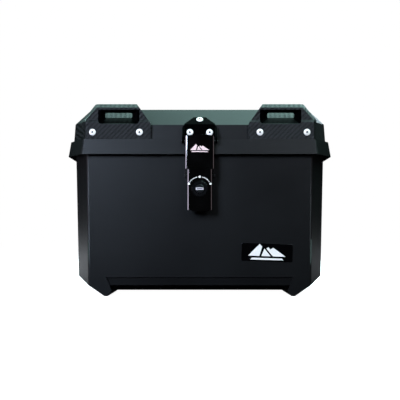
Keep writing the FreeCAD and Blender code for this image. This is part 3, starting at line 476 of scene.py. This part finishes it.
def make_marks():
    """The generic mark, in rose on the hasp plate and in white on the badge."""
    hasp_low, hasp_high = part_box("hasp_plate")
    mark_z = hasp_low.z + (hasp_high.z - hasp_low.z) * 0.685
    ink_piece("hasp_mark", peak_outlines(HASP_MARK_WIDTH), BODY_OF["hasp_plate"], "rose_ink",
              lambda x, z, depth: Vector((x, hasp_low.y + depth, z + mark_z)))

    badge = frame["nodes"]["badge_plate"].data
    faces = [face for face in badge.polygons if face.normal.y < -0.99]
    area = sum(face.area for face in faces)
    middle = sum((face.center * face.area for face in faces), Vector()) / area
    lean = Vector((0, -1, 0)).rotation_difference(faces[0].normal).to_matrix()
    tilt = Matrix.Rotation(math.radians(BADGE_TILT), 3, "Y")
    ink_piece("badge_mark", peak_outlines(BADGE_MARK_WIDTH), BODY_OF["badge_plate"], "white_ink",
              lambda x, z, depth: middle + lean @ (tilt @ Vector((x, depth, z))))


KEYWAY_OUTER = (6.1, 1.9)   # half width and half height
KEYWAY_SLOT = (4.4, 0.55)
KEYWAY_PROUD = 0.3


def make_keyway():
    """The bright surround of the key slot."""
    low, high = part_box("lock_plug")
    centre = Vector((0, low.y, (low.z + high.z) / 2))
    bm = bmesh.new()
    corners = ((-1, -1), (1, -1), (1, 1), (-1, 1))
    rings = [[bm.verts.new((half * x * MM, 0, tall * z * MM)) for x, z in corners]
             for half, tall in (KEYWAY_OUTER, KEYWAY_SLOT)]
    for i in range(4):
        j = (i + 1) % 4
        bm.faces.new((rings[0][i], rings[0][j], rings[1][j], rings[1][i]))
    grown = bmesh.ops.extrude_face_region(bm, geom=bm.faces[:])
    raised = [v for v in grown["geom"] if isinstance(v, bmesh.types.BMVert)]
    bmesh.ops.translate(bm, verts=raised, vec=(0, -KEYWAY_PROUD * MM, 0))
    bmesh.ops.translate(bm, verts=bm.verts, vec=centre)
    bmesh.ops.recalc_face_normals(bm, faces=bm.faces)
    piece = add_piece("keyway_surround", mesh_from(bm, "keyway"), BODY_OF["lock_plug"], "keyway_steel")
    rounded = piece.modifiers.new("rounded", "BEVEL")
    rounded.width = 0.25 * MM
    rounded.segments = 2


def finish_plain_nodes():
    """CAD nodes whose shape is right keep it, and get their material."""
    for node, thing in frame["nodes"].items():
        if thing.hide_render:
            continue
        thing.data.materials.clear()
        thing.data.materials.append(MATERIALS[SLOT_OF[node]])
        thing.data.set_sharp_from_angle(angle=math.radians(32))


# ---------------------------------------------------------------- stage
def add_plane(name, size, location, material):
    mesh = bpy.data.meshes.new(name)
    half = size / 2
    mesh.from_pydata([(-half, -half, 0), (half, -half, 0), (half, half, 0), (-half, half, 0)], [],
                     [(0, 1, 2, 3)])
    plane = bpy.data.objects.new(name, mesh)
    plane.location = location
    mesh.materials.append(material)
    bpy.context.collection.objects.link(plane)
    return plane


def add_area_light(name, location, target, width, height, power, colour=(1, 1, 1)):
    data = bpy.data.lights.new(name, "AREA")
    data.shape = "RECTANGLE"
    data.size, data.size_y = width, height
    data.energy = power
    data.color = colour
    light = bpy.data.objects.new(name, data)
    light.location = location
    light.rotation_euler = (Vector(target) - Vector(location)).to_track_quat("-Z", "Y").to_euler()
    bpy.context.collection.objects.link(light)


def make_stage():
    scene = bpy.context.scene
    scene.view_settings.view_transform = "Standard"
    world = bpy.data.worlds.new("world")
    world.use_nodes = True
    world.node_tree.nodes["Background"].inputs["Color"].default_value = rgb(0.9, 0.9, 1.0)
    world.node_tree.nodes["Background"].inputs["Strength"].default_value = 0.006
    scene.world = world

    pale = Nodes("pale_floor")
    pale.finish(Base_Color=rgb(0.6, 0.6, 0.6), Roughness=0.9, Emission_Color=rgb(1, 1, 1),
                Emission_Strength=1.0)
    floor = add_plane("floor", 16, (0, 0, -0.0005), pale.material)
    floor.visible_glossy = False
    floor.visible_diffuse = False

    glow = Nodes("backdrop_glow")
    glow.finish(Base_Color=rgb(0, 0, 0), Emission_Color=rgb(1, 1, 1), Emission_Strength=1.0)
    mesh = bpy.data.meshes.new("backdrop")
    bm = bmesh.new()
    bmesh.ops.create_uvsphere(bm, u_segments=48, v_segments=24, radius=14)
    bm.to_mesh(mesh)
    bm.free()
    mesh.materials.append(glow.material)
    backdrop = bpy.data.objects.new("backdrop", mesh)
    bpy.context.collection.objects.link(backdrop)
    backdrop.visible_diffuse = False
    backdrop.visible_glossy = False
    backdrop.visible_transmission = False
    backdrop.visible_shadow = False

    centre = (0, -0.1, 0.16)
    latch = (0, -0.19, 0.22)
    add_area_light("key", (-0.8, -1.55, 0.72), centre, 0.62, 0.62, 37, (0.66, 0.79, 1.0))
    add_area_light("fill_right", (0.75, -1.5, 0.95), centre, 0.6, 0.6, 10, (0.84, 0.90, 1.0))
    add_area_light("overhead", (0.6, 0.3, 1.5), (0.35, 0.1, 0.2), 2.6, 1.4, 84, (0.60, 1.0, 0.95))
    add_area_light("bevel_left", (-1.03, 0.32, 1.28), (-0.19, -0.17, 0.3), 0.5, 0.5, 12, (0.60, 1.0, 0.95))
    add_area_light("edge_left", (-1.25, -0.55, 0.32), latch, 0.85, 0.4, 4.2, (0.86, 0.78, 1.0))
    add_area_light("edge_right", (1.25, -0.55, 0.32), latch, 0.5, 0.4, 0.4, (1.0, 0.80, 0.86))
    add_area_light("back", (0.5, 1.8, 0.8), (0, 0.15, 0.15), 1.2, 1.2, 25, (0.75, 0.87, 1.0))
    for side, power in ((-1, 0.32), (1, 0.11)):
        add_area_light(f"card_{side}", (0.55 * side, 0.05, 0.03), (0.2 * side, -0.15, 0.04), 0.5, 0.05, power,
                       (0.88, 0.93, 1.0))


make_camera()
make_softened_nodes()
for node in SLOT_OF:
    if SLOT_OF[node] == "rivet_bright":
        make_mandrels(node)
make_legend()
make_marks()
make_keyway()
finish_plain_nodes()
make_stage()
